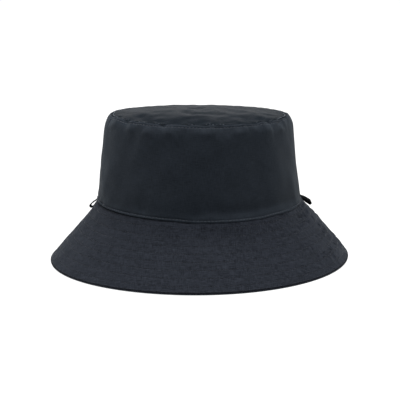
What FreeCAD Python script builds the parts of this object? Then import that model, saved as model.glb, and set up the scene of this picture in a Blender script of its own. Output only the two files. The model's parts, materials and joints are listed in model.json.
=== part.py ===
"""A bucket hat: domed tip, side panels, stitched sloping brim, lining, sweatband and two tape loops.

The origin is the centre of the brim's rim, on the plane that the hat stands on. +Z is up, -Y is the front and
+X is the wearer's left. Left and right are the wearer's. Lengths are millimetres and angles are degrees.

Every ring round the hat is an oval: half_width * cos(angle) across, and (half_width + OVAL_EXTRA) *
sin(angle) from front to back. A section is a closed list of stations, and a piece of cloth is that section
swept round the oval.
"""
import FreeCAD, Part
import math
import os
from collections import namedtuple

os.makedirs("parts", exist_ok=True)

# Head opening and oval
SEAM_HALF_WIDTH = 94.5      # outside of the crown where it meets the brim, half of the width across
OVAL_EXTRA = 5.5            # how much longer than wide each oval is, on each side
SEAM_HEIGHT = 53.1          # the crown and brim seam above the rim, at the sides
SEAM_DIP = 2.0              # how much lower that seam is at the front and back

# Crown
CROWN_HEIGHT = 81.1         # from the brim seam up to the tip seam
WALL_TAPER = 8.75           # how far the side wall leans in over the crown's height
SHOULDER_START = 0.842      # share of the crown's height where the side wall starts to round over
SHOULDER_RUN = 4.35         # how far the rounding reaches in, beyond the wall's own lean
TIP_SEAM_DIP = 0.8          # how much lower the tip seam is at the front and back
TIP_DOME = 4.0              # rise of the tip's middle above its seam
TIP_DOME_POWER = 2.5        # how flat the middle of the dome is
TIP_MIDDLE = 0.1            # share of the tip's half width that a flat cap closes

# Brim
RIM_HALF_WIDTH = 140.0      # half of the width across the rim
BRIM_BOW = 1.4              # how far the middle of the slope bows out
BRIM_ROWS = 8               # rows of stitching round the brim
ROW_FIRST = 0.085           # share of the slope from the seam to the first row
ROW_PITCH = 0.1145          # share of the slope from one row to the next
EDGE_ROW = 0.965            # share of the slope where the edge stitching runs
SLOPE_TOP = (-0.2, -0.55)   # where the slope's upper line starts, from the seam's half width and height

# Cloth, measured in from the outside of the side wall
CLOTH = 0.8                 # crown cloth
TURNED_CLOTH = 1.6          # crown cloth with its seam allowance turned under
TIP_ALLOWANCE = 7.0         # width of the turned allowance at the tip seam
BASE_ALLOWANCE = 8.0        # height of the turned allowance at the brim seam
UPPER_FLANGE = (1.65, 2.45)  # brim upper layer, turned up inside the crown
UNDER_FLANGE = (2.55, 3.35)  # brim under layer, turned up inside the crown
LINING = (3.5, 4.0)
SWEATBAND = (4.1, 5.1)
SWEATBAND_HEIGHT = 28.0
INSIDE_START = 0.4          # the lining and the sweatband start this far above the brim seam

# Brim layers, each from its outer line to its inner line, measured level across the slope
UPPER_LAYER = (0.0, 0.8)
INTERLINING = (0.87, 1.5)
UNDER_LAYER = (1.57, 2.37)

# Thread
THREAD_WIDTH = 0.5
THREAD_HEIGHT = 0.3
THREAD_GAP = 0.08           # from the cloth to the thread that lies on it
TIP_ROW_INSET = 2.0         # tip topstitching, in from the tip seam
SHOULDER_ROW_ANGLE = 60.0   # where the lower row runs on the shoulder's rounding
BASE_ROW_HEIGHT = 1.6       # base topstitching above the brim seam
SIDE_ROW_OFFSET = 2.5       # side-seam topstitching, each side of the seam

# Butt gaps between neighbouring cloth edges
SIDE_GAP = 0.04             # degrees each side of the front and back halves' meeting plane
BACK_GAP = 0.16             # degrees each side of the centre back where a band's ends meet
TIP_GAP = 0.1               # each side of the tip seam

# Tape loops, one behind each side of the head
LOOP_LENGTH = 13.0
LOOP_TAPE_WIDTH = 6.0
LOOP_TAPE = 0.8             # thickness of the tape
LOOP_ROOT_HALF = 0.85       # half of the folded tape's thickness at its root
LOOP_TIP_RADIUS = 1.75      # the fold at the loop's end
LOOP_EYE_START = 2.5        # where the two strands part
LOOP_ANGLE = 8.5            # round the oval, behind the side of the head
LOOP_STAND_OFF = 1.6        # from the crown to the loop's hinge line
LEFT_LOOP_DROOP = 36.5      # below level
RIGHT_LOOP_DROOP = 44.0

# Blank labels that hang from the sweatband's upper edge, inside the back of the hat
LABEL_THICKNESS = 0.5
LABEL_STAND_OFF = 1.5       # from the sweatband to the label
LABEL_TOP_DROP = 0.5        # label's top below the sweatband's top
CARE_LABEL = (24.0, 36.0)   # width, length
SIZE_LABEL = (14.0, 18.0)
CARE_LABEL_ANGLE = 90.0
SIZE_LABEL_ANGLE = 68.0

FRONT_HALF = (180.0 + SIDE_GAP, 360.0 - SIDE_GAP)
BACK_HALF = (SIDE_GAP, 180.0 - SIDE_GAP)
WHOLE_BAND = (90.0 + BACK_GAP, 450.0 - BACK_GAP)
RING_STEP = 7.5             # degrees between the points that a ring's curve passes through

TIP_HALF_WIDTH = SEAM_HALF_WIDTH - WALL_TAPER - SHOULDER_RUN
TIP_SHARES = (TIP_MIDDLE, 0.3, 0.5, 0.7, 0.85, 0.93, 1.0)
ROW_SHARES = [ROW_FIRST + ROW_PITCH * row for row in range(BRIM_ROWS)]
BRIM_SHARES = ROW_SHARES + [EDGE_ROW, 1.0]

Station = namedtuple("Station", "half_width height dip extra")


def station(half_width, height, dip, extra=OVAL_EXTRA):
    """One corner of a section."""
    return Station(half_width, height, dip, extra)


def ring_point(corner, angle):
    """Where a corner of a section is at an angle round the oval."""
    across = math.cos(math.radians(angle))
    along = math.sin(math.radians(angle))
    return FreeCAD.Vector(
        corner.half_width * across,
        (corner.half_width + corner.extra) * along,
        corner.height - corner.dip * along ** 2,
    )


def ring_edge(corner, start, end):
    """The smooth line that a corner draws round the oval."""
    steps = max(2, math.ceil((end - start) / RING_STEP))
    curve = Part.BSplineCurve()
    curve.interpolate([ring_point(corner, start + (end - start) * i / steps) for i in range(steps + 1)])
    return curve.toShape()


def spans(start, end):
    """An angle range cut into equal stretches of at most half a turn."""
    count = math.ceil((end - start) / 180.001)
    step = (end - start) / count
    return [(start + step * i, start + step * (i + 1)) for i in range(count)]


def closed_solid(faces):
    """A solid from the faces that close it."""
    solid = Part.Solid(Part.Shell(faces))
    if solid.Volume < 0:
        solid.reverse()
    if not solid.isValid() or not solid.isClosed():
        raise ValueError("a swept section did not close")
    return solid


def is_level(corner, following):
    """True where two corners draw the two sides of a flat, level ring."""
    return corner.height == following.height and corner.dip == 0 == following.dip


def strip(first, second, flat):
    """The face between the lines that two neighbouring corners draw."""
    if not flat:
        return Part.makeRuledSurface(first, second)
    first_ends, second_ends = [[edge.valueAt(end) for end in edge.ParameterRange] for edge in (first, second)]
    sides = [Part.makeLine(*ends) for ends in zip(first_ends, second_ends)]
    return Part.Face(Part.Wire([first, sides[1], second, sides[0]]))


def swept(section, angles):
    """The section swept round the oval, closed by a flat cap at each end."""
    corners = list(zip(section, section[1:] + section[:1]))
    faces = []
    for start, end in spans(*angles):
        edges = [ring_edge(corner, start, end) for corner in section]
        for (corner, following), first, second in zip(corners, edges, edges[1:] + edges[:1]):
            faces.append(strip(first, second, is_level(corner, following)))
    for angle in angles:
        corners = [ring_point(corner, angle) for corner in section]
        faces.append(Part.Face(Part.makePolygon(corners + corners[:1])))
    return closed_solid(faces)


def disc(top, bottom):
    """A round panel. Its top and bottom lines run out from near the middle, where flat caps close it."""
    line = top + bottom[::-1]
    faces = []
    for start, end in spans(0.0, 360.0):
        edges = [ring_edge(corner, start, end) for corner in line]
        for edge, following in zip(edges, edges[1:]):
            faces.append(Part.makeRuledSurface(edge, following))
    for corner in (top[0], bottom[0]):
        halves = [ring_edge(corner, start, end) for start, end in spans(0.0, 360.0)]
        faces.append(Part.Face(Part.Wire(halves)))
    return closed_solid(faces)


def seam_dip(share):
    """The dip of the crown at a share of its height."""
    return SEAM_DIP + (TIP_SEAM_DIP - SEAM_DIP) * share


def wall(height, depth):
    """The side wall at a height above the brim seam, depth in from its outside, below the shoulder."""
    share = height / CROWN_HEIGHT
    return station(SEAM_HALF_WIDTH - depth - WALL_TAPER * share, SEAM_HEIGHT + height, seam_dip(share))


def shoulder(turn, depth):
    """The rounding above the side wall, from 0 where the wall ends to 90 at the tip seam."""
    rise = math.sin(math.radians(turn))
    share = SHOULDER_START + (1 - SHOULDER_START) * rise
    reach = (SHOULDER_RUN - depth) * (1 - math.cos(math.radians(turn)))
    start = SHOULDER_START * CROWN_HEIGHT
    return station(
        SEAM_HALF_WIDTH - depth - WALL_TAPER * share - reach,
        SEAM_HEIGHT + start + (CROWN_HEIGHT - start - depth) * rise,
        seam_dip(share),
    )


def wall_line(bottom, depth, turns=(0, 25, 45, 60, 75)):
    """The side wall's line from a height up over the shoulder."""
    top = SHOULDER_START * CROWN_HEIGHT
    heights = [bottom + (top - bottom) * i / 4 for i in range(4)]
    return [wall(height, depth) for height in heights] + [shoulder(turn, depth) for turn in turns]


def tip_edge(depth):
    """The side wall's edge along the tip seam."""
    edge = shoulder(90, depth)
    return edge._replace(half_width=edge.half_width + TIP_GAP)


def crown_panel(angles):
    """Half of the side wall, with its allowances turned under along the tip seam and the brim seam."""
    section = wall_line(0.0, 0.0) + [tip_edge(0.0), tip_edge(TURNED_CLOTH)]
    section += [shoulder(turn, TURNED_CLOTH) for turn in (75, 60, 48)]
    section += wall_line(BASE_ALLOWANCE, CLOTH, (0, 25, 45))[::-1]
    section += [wall(BASE_ALLOWANCE - 0.4, TURNED_CLOTH), wall(0.0, TURNED_CLOTH)]
    return swept(section, angles)


def tip_station(share, depth, edge=TIP_HALF_WIDTH - TIP_GAP):
    """The tip at a share of the way from its middle to its edge."""
    rise = TIP_DOME * (1 - share ** TIP_DOME_POWER)
    dip = TIP_SEAM_DIP * share ** 2 if share > TIP_MIDDLE else 0.0
    return station(edge * share, SEAM_HEIGHT + CROWN_HEIGHT + rise - depth, dip, OVAL_EXTRA * share)


def crown_tip():
    """The round top panel, with its allowance turned under round its edge."""
    turned = 1 - TIP_ALLOWANCE / TIP_HALF_WIDTH
    top = [tip_station(share, 0.0) for share in TIP_SHARES]
    bottom = [tip_station(share, CLOTH) for share in TIP_SHARES if share < turned]
    bottom += [tip_station(turned, CLOTH)]
    bottom += [tip_station(share, TURNED_CLOTH) for share in (turned + 0.005, 1.0)]
    return disc(top, bottom)


def lining_tip():
    """The lining's own round top panel."""
    return disc(*[[tip_station(share, depth) for share in TIP_SHARES] for depth in LINING])


def lining_panel(angles):
    """Half of the lining's side wall."""
    outer, inner = [wall_line(INSIDE_START, depth) + [tip_edge(depth)] for depth in LINING]
    return swept(outer + inner[::-1], angles)


def sweatband():
    """The band round the inside of the head opening, its ends meeting at the centre back."""
    heights = (INSIDE_START, SWEATBAND_HEIGHT)
    outer, inner = [[wall(height, depth) for height in heights] for depth in SWEATBAND]
    return swept(outer + inner[::-1], WHOLE_BAND)


def brim_station(share, level_shift):
    """The brim's slope at a share of its length, shifted level towards the head."""
    top_width = SEAM_HALF_WIDTH + SLOPE_TOP[0]
    top_height = SEAM_HEIGHT + SLOPE_TOP[1]
    run = RIM_HALF_WIDTH - top_width
    length = math.hypot(run, top_height)
    bow = 4 * BRIM_BOW * share * (1 - share)
    return station(
        top_width + run * share + bow * top_height / length - level_shift,
        top_height * (1 - share) + bow * run / length,
        SEAM_DIP * (1 - share),
    )


def brim_line(first_share, level_shift):
    """The slope's line from a share near the seam to the rim, with a corner at each row of stitching."""
    return [brim_station(share, level_shift) for share in [first_share] + BRIM_SHARES]


def flange_line(depth, foot):
    """The part of a brim layer that is turned up inside the crown, from its top down to its foot."""
    return [wall(BASE_ALLOWANCE, depth), wall(foot, depth)]


def brim_upper(angles):
    """Half of the brim's upper layer, with its flange turned up inside the crown."""
    outer = flange_line(UPPER_FLANGE[0], -0.3) + brim_line(0.0, UPPER_LAYER[0])
    inner = flange_line(UPPER_FLANGE[1], -0.95) + brim_line(0.015, UPPER_LAYER[1])
    return swept(outer + inner[::-1], angles)


def brim_interlining(angles):
    """Half of the stiffener between the brim's two cloth layers, cut off level just below the seam."""
    outer, inner = [brim_line(0.02, shift) for shift in INTERLINING]
    return swept(outer + inner[::-1], angles)


def brim_under(angles):
    """Half of the brim's under layer, with its flange turned up inside the crown."""
    outer = flange_line(UNDER_FLANGE[0], -1.6) + brim_line(0.03, UNDER_LAYER[0])
    inner = flange_line(UNDER_FLANGE[1], -2.1) + brim_line(0.041, UNDER_LAYER[1])
    return swept(outer + inner[::-1], angles)


def thread(below, middle, above, side):
    """A flat thread round the hat, on a line of cloth that rises from below to above.

    Side 1 is outside the cloth, and side -1 is inside it.
    """
    rise_width = above.half_width - below.half_width
    rise_height = above.height - below.height
    length = math.hypot(rise_width, rise_height)
    along = (rise_width / length, rise_height / length)
    out = (along[1] * side, -along[0] * side)
    corners = []
    for lift, slide in ((0, -1), (0, 1), (1, 1), (1, -1)):
        proud = THREAD_GAP + THREAD_HEIGHT * lift
        shift = THREAD_WIDTH / 2 * slide
        corners.append(middle._replace(
            half_width=middle.half_width + out[0] * proud + along[0] * shift,
            height=middle.height + out[1] * proud + along[1] * shift,
        ))
    return swept(corners, WHOLE_BAND)


def brim_row(share):
    """One row of brim stitching: the needle thread on top, the bobbin thread underneath."""
    threads = []
    for shift, side in ((UPPER_LAYER[0], 1), (UNDER_LAYER[1], -1)):
        line = [brim_station(share + step, shift) for step in (0.01, 0.0, -0.01)]
        threads.append(thread(*line, side))
    return threads


def base_row():
    """The topstitching just above the brim seam: outside on the crown, inside on the sweatband."""
    threads = []
    for depth, side in ((0.0, 1), (SWEATBAND[1], -1)):
        line = [wall(BASE_ROW_HEIGHT + step, depth) for step in (-1.0, 0.0, 1.0)]
        threads.append(thread(*line, side))
    return threads


def shoulder_row():
    """The tip topstitching's lower row, on the side wall's rounding."""
    threads = []
    for depth, side in ((0.0, 1), (TURNED_CLOTH, -1)):
        line = [shoulder(SHOULDER_ROW_ANGLE + step, depth) for step in (-1.0, 0.0, 1.0)]
        threads.append(thread(*line, side))
    return threads


def tip_row():
    """The tip topstitching's upper row, on the tip."""
    share = 1 - TIP_ROW_INSET / TIP_HALF_WIDTH
    threads = []
    for depth, side in ((0.0, 1), (TURNED_CLOTH, -1)):
        line = [tip_station(share + step, depth) for step in (0.005, 0.0, -0.005)]
        threads.append(thread(*line, side))
    return threads


def side_rows(seam_angle):
    """Upright topstitching on both sides of a side seam."""
    heights = (BASE_ALLOWANCE + 1, 30.0, 50.0, SHOULDER_START * CROWN_HEIGHT)
    outer, inner = [[wall(height, -THREAD_GAP - lift) for height in heights] for lift in (THREAD_HEIGHT, 0.0)]
    degrees_per_mm = math.degrees(1 / SEAM_HALF_WIDTH)
    threads = []
    for offset in (-SIDE_ROW_OFFSET, SIDE_ROW_OFFSET):
        start = seam_angle + (offset - THREAD_WIDTH / 2) * degrees_per_mm
        threads.append(swept(outer + inner[::-1], (start, start + THREAD_WIDTH * degrees_per_mm)))
    return threads


def facing_out(angle, corner):
    """The frame at a point of the oval: its X points straight out, its Y along the oval, its Z up."""
    across = (corner.half_width + corner.extra) * math.cos(math.radians(angle))
    along = corner.half_width * math.sin(math.radians(angle))
    heading = math.degrees(math.atan2(along, across))
    turn = FreeCAD.Rotation(FreeCAD.Vector(0, 0, 1), heading)
    return FreeCAD.Placement(ring_point(corner, angle), turn)


def teardrop(root_x, root_half, end_x, radius):
    """A wire with a narrow root and a round end, in the XZ plane."""
    reach = end_x - root_x
    lean = math.asin((radius - root_half) / reach)
    touch = FreeCAD.Vector(end_x - radius * math.sin(lean), 0, radius * math.cos(lean))
    low_touch = FreeCAD.Vector(touch.x, 0, -touch.z)
    far = FreeCAD.Vector(end_x + radius, 0, 0)
    edges = [Part.Arc(touch, far, low_touch).toShape()]
    if root_half > 0:
        high_root = FreeCAD.Vector(root_x, 0, root_half)
        low_root = FreeCAD.Vector(root_x, 0, -root_half)
        edges += [Part.makeLine(low_touch, low_root), Part.makeLine(low_root, high_root)]
        edges += [Part.makeLine(high_root, touch)]
    else:
        root = FreeCAD.Vector(root_x, 0, 0)
        edges += [Part.makeLine(low_touch, root), Part.makeLine(root, touch)]
    return Part.Wire(edges)


def loop_hinge(angle):
    """The frame on a loop's hinge line."""
    hinge = facing_out(angle, wall(0.0, 0.0))
    return hinge.multiply(FreeCAD.Placement(FreeCAD.Vector(LOOP_STAND_OFF, 0, 0), FreeCAD.Rotation()))


def tape_loop(angle, droop):
    """A narrow tape folded into a loop, sewn in the brim seam and drooping over the brim."""
    end_x = LOOP_LENGTH - LOOP_TIP_RADIUS
    outline = teardrop(0.0, LOOP_ROOT_HALF, end_x, LOOP_TIP_RADIUS)
    eye = teardrop(LOOP_EYE_START, 0.0, end_x, LOOP_TIP_RADIUS - LOOP_TAPE)
    section = Part.Face(outline).cut(Part.Face(eye))
    section.translate(FreeCAD.Vector(0, -LOOP_TAPE_WIDTH / 2, 0))
    loop = section.extrude(FreeCAD.Vector(0, LOOP_TAPE_WIDTH, 0)).Solids[0]
    hang = FreeCAD.Placement(FreeCAD.Vector(), FreeCAD.Rotation(FreeCAD.Vector(0, 1, 0), droop))
    loop.Placement = loop_hinge(angle).multiply(hang)
    return loop


def label_hinge(angle):
    """The frame on a label's hinge line, along its top edge."""
    top = wall(SWEATBAND_HEIGHT, SWEATBAND[1])
    inward = FreeCAD.Vector(-LABEL_STAND_OFF, 0, -LABEL_TOP_DROP)
    return facing_out(angle, top).multiply(FreeCAD.Placement(inward, FreeCAD.Rotation()))


def label(angle, size):
    """A blank folded label that hangs from its top edge."""
    width, length = size
    corner = FreeCAD.Vector(-LABEL_THICKNESS / 2, -width / 2, -length)
    sheet = Part.makeBox(LABEL_THICKNESS, width, length, corner)
    sheet.Placement = label_hinge(angle)
    return sheet


pieces = {
    "crown_tip": [crown_tip()],
    "crown_front_panel": [crown_panel(FRONT_HALF)],
    "crown_back_panel": [crown_panel(BACK_HALF)],
    "brim_upper_front": [brim_upper(FRONT_HALF)],
    "brim_upper_back": [brim_upper(BACK_HALF)],
    "brim_interlining_front": [brim_interlining(FRONT_HALF)],
    "brim_interlining_back": [brim_interlining(BACK_HALF)],
    "brim_under_front": [brim_under(FRONT_HALF)],
    "brim_under_back": [brim_under(BACK_HALF)],
    "lining_tip": [lining_tip()],
    "lining_front_panel": [lining_panel(FRONT_HALF)],
    "lining_back_panel": [lining_panel(BACK_HALF)],
    "sweatband": [sweatband()],
    "left_loop": [tape_loop(LOOP_ANGLE, LEFT_LOOP_DROOP)],
    "right_loop": [tape_loop(180.0 - LOOP_ANGLE, RIGHT_LOOP_DROOP)],
    "care_label": [label(CARE_LABEL_ANGLE, CARE_LABEL)],
    "size_label": [label(SIZE_LABEL_ANGLE, SIZE_LABEL)],
    "tip_topstitch_upper": tip_row(),
    "tip_topstitch_lower": shoulder_row(),
    "left_side_seam_stitch": side_rows(0.0),
    "right_side_seam_stitch": side_rows(180.0),
    "base_topstitch": base_row(),
    "brim_edge_stitch": brim_row(EDGE_ROW),
}
for number, share in enumerate(ROW_SHARES, 1):
    pieces["brim_stitch_row_%d" % number] = brim_row(share)

for name, solids in pieces.items():
    shape = solids[0] if len(solids) == 1 else Part.makeCompound(solids)
    shape.exportStep("parts/%s.step" % name)
    box = shape.BoundBox
    print("%-24s %9.1f mm3  x %.1f..%.1f  y %.1f..%.1f  z %.2f..%.2f" % (
        name, shape.Volume, box.XMin, box.XMax, box.YMin, box.YMax, box.ZMin, box.ZMax))

hinges = {
    "left_loop": (loop_hinge(LOOP_ANGLE), -1),
    "right_loop": (loop_hinge(180.0 - LOOP_ANGLE), -1),
    "care_label": (label_hinge(CARE_LABEL_ANGLE), 1),
    "size_label": (label_hinge(SIZE_LABEL_ANGLE), 1),
}
for name, (hinge, way) in hinges.items():
    axis = hinge.Rotation.multVec(FreeCAD.Vector(0, way, 0))
    print("%-12s hinge at %.3f %.3f %.3f, axis %.5f %.5f %.5f" % ((name,) + tuple(hinge.Base) + tuple(axis)))
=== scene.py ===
"""The looks of the bucket hat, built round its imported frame.

Shapes are worked out in millimetres and put into Blender in metres. Angles run round the hat in
radians, from +X (the wearer's left) towards +Y (the back). Every cloth piece is drawn from a Line:
the hat's section, followed upwards in millimetres, with the hat's outside on its right.
"""
import json
import math
import bpy
import numpy as np
from mathutils import Matrix, Vector


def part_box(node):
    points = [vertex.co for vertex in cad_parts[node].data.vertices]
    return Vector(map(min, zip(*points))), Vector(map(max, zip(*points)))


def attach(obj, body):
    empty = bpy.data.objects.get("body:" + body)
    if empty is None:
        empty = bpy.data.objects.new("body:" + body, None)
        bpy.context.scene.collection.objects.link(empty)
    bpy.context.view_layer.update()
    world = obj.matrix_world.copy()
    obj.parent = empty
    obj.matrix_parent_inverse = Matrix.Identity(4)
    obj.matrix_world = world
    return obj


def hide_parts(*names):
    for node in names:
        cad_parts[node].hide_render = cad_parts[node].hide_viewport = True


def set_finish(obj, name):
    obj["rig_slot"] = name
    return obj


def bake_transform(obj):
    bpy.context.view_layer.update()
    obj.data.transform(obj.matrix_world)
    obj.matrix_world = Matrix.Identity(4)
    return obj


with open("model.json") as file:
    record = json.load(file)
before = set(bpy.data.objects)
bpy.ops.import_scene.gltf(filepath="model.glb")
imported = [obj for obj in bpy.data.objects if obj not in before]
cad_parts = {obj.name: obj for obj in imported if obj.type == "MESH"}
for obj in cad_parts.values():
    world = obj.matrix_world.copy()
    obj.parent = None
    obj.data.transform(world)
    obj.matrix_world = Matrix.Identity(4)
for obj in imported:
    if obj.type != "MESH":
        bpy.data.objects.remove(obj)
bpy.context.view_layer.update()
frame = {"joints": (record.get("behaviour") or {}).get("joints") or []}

MM = 0.001
TURN = 2 * math.pi


def node_box(name):
    """A CAD node's lowest and highest corners, in millimetres."""
    low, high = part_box(name)
    return np.array(low) / MM, np.array(high) / MM


# Sizes that the frame gives
crown_low, crown_high = node_box("crown_front_panel")
brim_low, brim_high = node_box("brim_upper_front")
band_high = node_box("sweatband")[1]
tip_high = node_box("crown_tip")[1]
SEAM_DIP = 2.0              # how much lower the brim's seam is at the front and the back
TIP_SEAM_DIP = 0.8          # and the tip's seam
SEAM_HALF = crown_high[0]
SEAM_HEIGHT = crown_low[2] + SEAM_DIP
TIP_SEAM_HEIGHT = crown_high[2]
CROWN_HEIGHT = TIP_SEAM_HEIGHT - SEAM_HEIGHT
TIP_HALF = tip_high[0]
TIP_DOME = tip_high[2] - TIP_SEAM_HEIGHT
RIM_HALF = brim_high[0]
OVAL_EXTRA = -brim_low[1] - RIM_HALF
BAND_HEIGHT = band_high[2] - SEAM_HEIGHT

# Section of the hat
WALL_TAPER = 8.75           # how much the wall leans in from the brim's seam to the tip's
SHOULDER_START = 0.842      # share of the wall's height from which it rounds over
SHOULDER_RUN = SEAM_HALF - WALL_TAPER - TIP_HALF
DOME_POWER = 2.5
BRIM_TOP = (SEAM_HALF - 0.2, SEAM_HEIGHT - 0.55)    # half width and height
BRIM_BOW = 1.0
BRIM_THICK = 1.81           # both cloth layers and the interlining between them
RIM_GAP = 0.02              # keeps the rim clear of the floor
FLANGE_DEPTH = 1.65
FLANGE_HEIGHT = 8.0
UPPER_DEPTH = 0.7           # from the brim's upper face to the hidden side of its upper layer
UNDER_DEPTH = 1.1           # and to the hidden side of its under layer
INTERLINING_DEPTHS = (0.76, 1.04)
CROWN_CLOTH = 0.8
TURNED_SHARE = 0.9          # what a turned-in allowance adds to the cloth, as a share of it
LINING_DEPTHS = (3.5, 3.95)
BAND_DEPTH = 4.1
BAND_CLOTH = 1.0
BAND_GROOVE = 0.16          # how deep the stitching sinks into the sweatband

# Lean and sag of the soft hat
SEAM_LEAN, CROWN_LEAN, BRIM_LEAN, RIM_LEAN = 0.25, 0.75, 6.0, 0.69
RIM_RIPPLE = 0.3
SEAM_TILT = 0.0165
SEAM_RISE = 0.8
SEAM_SAG = 0.9

# Stitching. The brim's rows are shares of its slope, from the crown down
ROW_COUNT = 8
ROW_FIRST = 0.085
ROW_PITCH = 0.1145
EDGE_ROW = 0.965
BASE_ROW = 1.6
SHOULDER_ROW = 60.0         # degrees of the rounding
TIP_ROW = 2.0
SIDE_ROW = 2.5
STITCH_PITCH = 3.1
STITCH_LENGTH = 2.6
THREAD_RADIUS = 0.2
PUCKER_PITCH = 5.6
STITCH_SUNK, STITCH_HUMP = 0.16, 0.30
TUBE_SIDES, TUBE_RINGS = 5, 4

# Loops and labels
LOOP_WIDTH, LOOP_THICK = 6.0, 1.2
LOOP_HIDDEN = 3.4           # how far the tape goes into the seam
LOOP_ROOT_HALF = 0.5        # from the middle of the fold to the middle of the tape
LABEL_THICK, LABEL_BOW = 0.3, -0.35

# Meshes: spacing up the section, and columns round the piece
LINE_STEP = 0.2
PANEL_STEP, PANEL_COLUMNS = 1.5, 260
LINING_STEP, LINING_COLUMNS = 2.5, 150
TIP_STEP, TIP_COLUMNS = 1.7, 360
TIP_LINING_STEP, TIP_LINING_COLUMNS = 3.0, 180
BRIM_STEP, BRIM_COLUMNS = 1.15, 300
INTERLINING_STEP, INTERLINING_COLUMNS = 2.5, 160
BAND_STEP, BAND_COLUMNS = 1.4, 420
RIBBON_STEP, LOOP_COLUMNS, LABEL_COLUMNS = 0.35, 9, 17
FINEST_STEP = 0.12          # places closer than this are merged
WAVE_COUNT = 18             # how many plane waves make up a random bump


def waves(points, wavelength, seed, stretch=(1, 1, 1)):
    """Smooth random bumps of about unit size, the same on every run, stretched by axis."""
    rng = np.random.default_rng(seed)
    scaled = points / np.array(stretch)
    total = np.zeros(points.shape[:-1])
    for _ in range(WAVE_COUNT):
        direction = rng.normal(size=3)
        direction /= np.linalg.norm(direction)
        pace = TURN / (wavelength * rng.uniform(0.7, 1.5))
        total += np.cos(scaled @ direction * pace + rng.uniform(0, TURN))
    return total / math.sqrt(WAVE_COUNT / 2)


def dent(distance, width):
    """A soft groove's depth from 0 to 1, by the distance from its middle."""
    return np.exp(-(distance / width) ** 2)


def smooth_step(value):
    """0 below 0, 1 above 1 and smooth between."""
    value = np.clip(value, 0, 1)
    return value * value * (3 - 2 * value)


def settle(points):
    """The points after the lean, the tilt and the sag that a soft hat takes as it stands."""
    x, y, z = points[..., 0], points[..., 1], points[..., 2]
    above = np.clip((z - SEAM_HEIGHT) / CROWN_HEIGHT, 0, 1.1)
    below = np.clip((SEAM_HEIGHT - z) / SEAM_HEIGHT, 0, 1)
    ripple = RIM_RIPPLE * (1 + np.cos(3 * np.arctan2(y, x))) * below ** 2
    lean = (SEAM_LEAN + CROWN_LEAN * above - RIM_LEAN * below
            + BRIM_LEAN * below * (1 - below) ** 2)
    tilt = -SEAM_TILT * x * (1 - below) ** 4
    rise = SEAM_RISE * (1 - below) ** 4 * (1 - np.clip(above, 0, 1))
    # the seam hangs lower where the slack cloth lies on it
    sag = SEAM_SAG * smooth_step((x + 22) / 14) * smooth_step((68 - x) / 16)
    sag *= smooth_step(-y / 60)
    sag *= dent(z - SEAM_HEIGHT, 9)
    return np.stack([x + lean, y, z + tilt + rise + ripple - sag], -1)


class Line:
    """A line of the hat's section: half width, height, dip at front and back, extra half depth."""

    def __init__(self, stations):
        rows = np.array(stations, float)
        steps = np.hypot(np.diff(rows[:, 0]), np.diff(rows[:, 1]))
        along = np.concatenate([[0], np.cumsum(steps)])
        self.length = along[-1]
        self.along = np.linspace(0, self.length, int(self.length / LINE_STEP) + 2)
        columns = [np.interp(self.along, along, rows[:, k]) for k in range(4)]
        slope = [np.gradient(column, self.along) for column in columns[:2]]
        size = np.hypot(*slope)
        self.columns = columns + [slope[1] / size, -slope[0] / size]

    def at(self, along):
        """The four columns and the way out at a distance up the line."""
        return [np.interp(along, self.along, column) for column in self.columns]

    def place(self, along, angle, lift=0.0):
        """Points at a distance up the line and an angle round the hat, lifted off the cloth."""
        width, height, dip, extra, out, up = self.at(along)
        width = width + out * lift
        x = width * np.cos(angle)
        y = (width + extra) * np.sin(angle)
        z = height + up * lift - dip * np.sin(angle) ** 2
        return settle(np.stack(np.broadcast_arrays(x, y, z), -1))

    def radius(self, along):
        """The mean radius round the hat."""
        width, _, _, extra = self.at(along)[:4]
        return width + extra / 2


def wall_dip(share):
    """The dip at the front and back, by the share of the wall's height."""
    return SEAM_DIP + (TIP_SEAM_DIP - SEAM_DIP) * share


def wall_stations(low, high, depth, steps=60):
    """The side wall between two heights above the brim's seam."""
    rows = []
    for height in np.linspace(low, high, steps):
        share = height / CROWN_HEIGHT
        width = SEAM_HALF - depth - WALL_TAPER * share
        rows.append((width, SEAM_HEIGHT + height, wall_dip(share), OVAL_EXTRA))
    return rows


def shoulder_stations():
    """The rounding from the side wall up to the tip's seam."""
    start = SHOULDER_START * CROWN_HEIGHT
    rows = []
    for turn in np.radians(np.linspace(2, 90, 45)):
        rise = math.sin(turn)
        share = SHOULDER_START + (1 - SHOULDER_START) * rise
        width = SEAM_HALF - WALL_TAPER * share - SHOULDER_RUN * (1 - math.cos(turn))
        height = SEAM_HEIGHT + start + (CROWN_HEIGHT - start) * rise
        rows.append((width, height, wall_dip(share), OVAL_EXTRA))
    return rows


def slope_stations(under=False):
    """The brim's upper or under face, from the rolled seam near its rim to the crown's seam."""
    slope = math.atan2(BRIM_TOP[1], RIM_HALF - BRIM_TOP[0])
    radius = BRIM_THICK / 2
    facing = math.pi / 2 - slope
    across, rise = math.cos(facing), math.sin(facing)
    centre = (RIM_HALF - radius, radius + RIM_GAP)
    turns = np.linspace(facing, facing - math.pi, 24) if under else [facing]
    rows = [(centre[0] + radius * math.cos(turn), centre[1] + radius * math.sin(turn),
             0.0, OVAL_EXTRA) for turn in turns]
    low = rows[-1]
    depth = BRIM_THICK if under else 0.0
    high = (BRIM_TOP[0] - depth * across, BRIM_TOP[1] - depth * rise)
    for share in np.linspace(0, 1, 90)[1:]:
        bow = 4 * BRIM_BOW * share * (1 - share)
        width = low[0] + (high[0] - low[0]) * share + bow * across
        height = low[1] + (high[1] - low[1]) * share + bow * rise
        rows.append((width, height, SEAM_DIP * share, OVAL_EXTRA))
    return rows


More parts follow.
